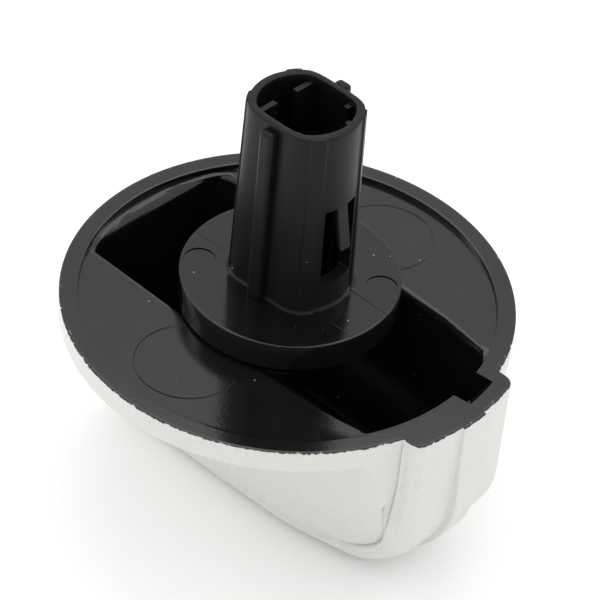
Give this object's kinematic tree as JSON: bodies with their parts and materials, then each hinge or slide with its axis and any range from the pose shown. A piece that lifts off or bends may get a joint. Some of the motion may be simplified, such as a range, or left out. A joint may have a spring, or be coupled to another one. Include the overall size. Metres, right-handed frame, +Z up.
{
  "type": "rotary control knob",
  "caption": "Pointer-grip rotary knob with a hollow round skirt and a plug-in stem whose ribbed D socket slides onto a switch shaft and snaps in with spring tongues.",
  "frame": {"origin": "on the grip's crest, the face the knob stands on, under the stem's axis", "axes": "+Z runs up the stem towards the shaft it slides onto, +X points along the grip to its pointer"},
  "size_m": [0.0506, 0.048, 0.0481],
  "materials": {
    "silver_painted_plastic": "satin silver paint over black moulded plastic",
    "black_plastic": "satin, as moulded"
  },
  "bodies": {
    "knob": {"knob_body": "silver_painted_plastic", "stem_insert": "black_plastic"},
    "tongue_front": {"snap_tongue_front": "black_plastic"},
    "tongue_rear": {"snap_tongue_rear": "black_plastic"}
  },
  "joints": [
    {"name": "front_tongue_flex", "type": "hinge", "parent": "knob", "child": "tongue_front", "pos_m": [0.00556, 0, 0.0385], "axis": [0, 1, 0], "range_deg": [0, 10], "stiffness_Nm_per_rad": 0.15},
    {"name": "rear_tongue_flex", "type": "hinge", "parent": "knob", "child": "tongue_rear", "pos_m": [-0.00556, 0, 0.0385], "axis": [0, -1, 0], "range_deg": [0, 10], "stiffness_Nm_per_rad": 0.15}
  ]
}
